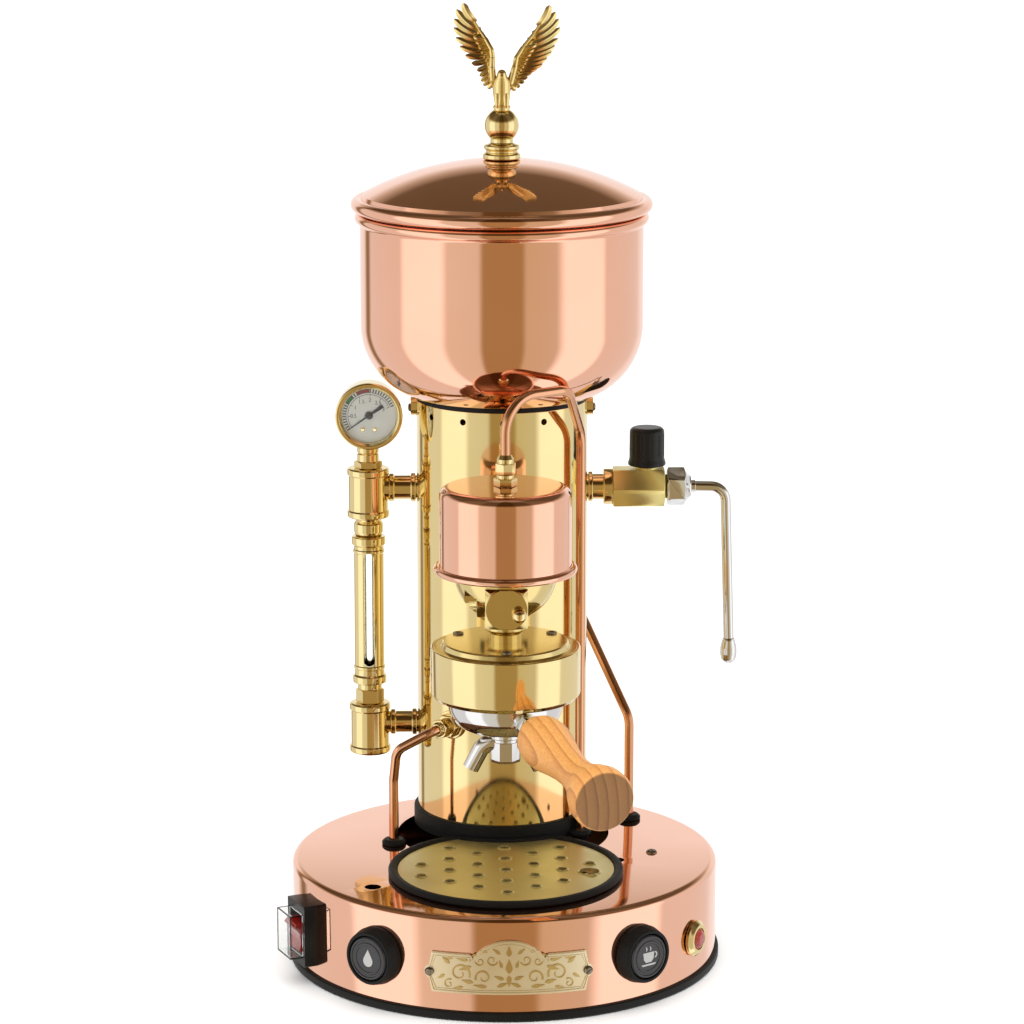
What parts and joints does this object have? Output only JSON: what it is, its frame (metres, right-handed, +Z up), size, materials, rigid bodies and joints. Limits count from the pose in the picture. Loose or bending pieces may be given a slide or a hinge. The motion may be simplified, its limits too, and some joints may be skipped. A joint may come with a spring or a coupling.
{
  "type": "espresso machine",
  "caption": "Column espresso machine with a domed water bowl, brew group, filter holder, level gauge with pressure dial, steam tap and drip tray on a round base.",
  "frame": {"origin": "middle of the round base's underside, where it stands on the table", "axes": "-Z out of the underside, +Z up along the column, -Y towards the user, +X to the user's right"},
  "size_m": [0.2856, 0.3595, 0.5765],
  "materials": {
    "copper": "polished copper plate",
    "steel_plate": "plain sheet",
    "black_rubber": "matt",
    "brass": "brushed and lacquered",
    "boiler_copper": "plain",
    "element_steel": "plain",
    "cast_brass": "cast, satin",
    "clear_glass": "clear",
    "dial_white": "white with a printed scale",
    "needle_black": "black",
    "black_plastic": "moulded",
    "chrome": "plated",
    "stainless": "satin",
    "turned_wood": "oiled beech, stained warm brown",
    "pipe_copper": "polished copper tube",
    "screw_steel": "blackened",
    "red_plastic": "moulded, lit from inside",
    "clear_plastic": "clear and soft",
    "button_grey": "moulded",
    "red_lens": "clear red, faceted",
    "pump_grey": "moulded"
  },
  "bodies": {
    "base": {"base_shell": "copper", "base_plate": "steel_plate", "base_trim_ring": "black_rubber", "pipe_grommets": "black_rubber", "column_casing": "brass", "column_foot_ring": "black_rubber", "column_gasket": "black_rubber", "boiler": "boiler_copper", "heating_element": "element_steel", "water_bowl": "copper", "bowl_lugs": "brass", "gauge_tees": "brass", "sight_guard": "brass", "sight_glass": "clear_glass", "gauge_nuts": "brass", "gauge_case": "brass", "gauge_dial": "dial_white", "gauge_glass": "clear_glass", "steam_pipe": "brass", "steam_valve_body": "brass", "steam_nut": "chrome", "group_body": "cast_brass", "group_plug": "brass", "group_cover": "copper", "group_top_plate": "cast_brass", "group_band": "brass", "group_gasket": "black_rubber", "shower_screen": "stainless", "group_pipe": "pipe_copper", "drain_pipe": "pipe_copper", "fill_pipe": "pipe_copper", "pipe_fittings": "brass", "name_plate": "brass", "small_screws": "screw_steel", "switch_housing": "black_plastic", "rocker_cover": "clear_plastic", "button_bezels": "black_plastic", "pilot_bezel": "brass", "pilot_lens": "red_lens", "pump": "pump_grey", "solenoid_valve": "pump_grey", "cord_gland": "black_plastic"},
    "lid_body": {"lid": "copper", "finial_stem": "brass", "finial_bird": "cast_brass"},
    "tray_body": {"drip_tray": "stainless", "tray_ring": "black_rubber"},
    "grille_body": {"drip_grille": "brass"},
    "holder": {"portafilter": "chrome", "filter_basket": "stainless", "coffee_spout": "chrome", "wood_handle": "turned_wood"},
    "tap_knob": {"steam_knob": "black_plastic", "steam_stem": "element_steel"},
    "wand": {"steam_wand": "chrome", "steam_tip": "chrome"},
    "rocker": {"power_rocker": "red_plastic"},
    "brew": {"brew_button": "button_grey"},
    "water": {"water_button": "button_grey"},
    "needle": {"gauge_needle": "needle_black"}
  },
  "joints": [
    {"name": "lid_lift", "type": "slide", "parent": "base", "child": "lid_body", "axis": [0, 0, 1], "range_m": [0, 0.08]},
    {"name": "tray_lift", "type": "slide", "parent": "base", "child": "tray_body", "axis": [0, 0, 1], "range_m": [0, 0.03]},
    {"name": "grille_lift", "type": "slide", "parent": "tray_body", "child": "grille_body", "axis": [0, 0, 1], "range_m": [0, 0.02]},
    {"name": "holder_turn", "type": "hinge", "parent": "base", "child": "holder", "pos_m": [0, -0.034, 0.17], "axis": [0, 0, 1], "range_deg": [-62, 0]},
    {"name": "knob_turn", "type": "hinge", "parent": "base", "child": "tap_knob", "pos_m": [0.09, 0.0705, 0.29], "axis": [0, 0, 1], "range_deg": [0, 540]},
    {"name": "wand_swivel", "type": "hinge", "parent": "base", "child": "wand", "pos_m": [0.111, 0.0705, 0.2775], "axis": [1, 0, 0], "range_deg": [-80, 20]},
    {"name": "rocker_tilt", "type": "hinge", "parent": "base", "child": "rocker", "pos_m": [-0.11555, -0.05024, 0.031], "axis": [0.3987, -0.9171, 0], "range_deg": [-18, 0]},
    {"name": "brew_press", "type": "slide", "parent": "base", "child": "brew", "axis": [-0.5948, 0.8039, 0], "range_m": [0, 0.002], "stiffness_N_per_m": 800},
    {"name": "water_press", "type": "slide", "parent": "base", "child": "water", "axis": [0.5948, 0.8039, 0], "range_m": [0, 0.002], "stiffness_N_per_m": 800},
    {"name": "needle_turn", "type": "hinge", "parent": "base", "child": "needle", "pos_m": [-0.082, 0.055, 0.325], "axis": [0, 1, 0], "range_deg": [0, 193]}
  ]
}
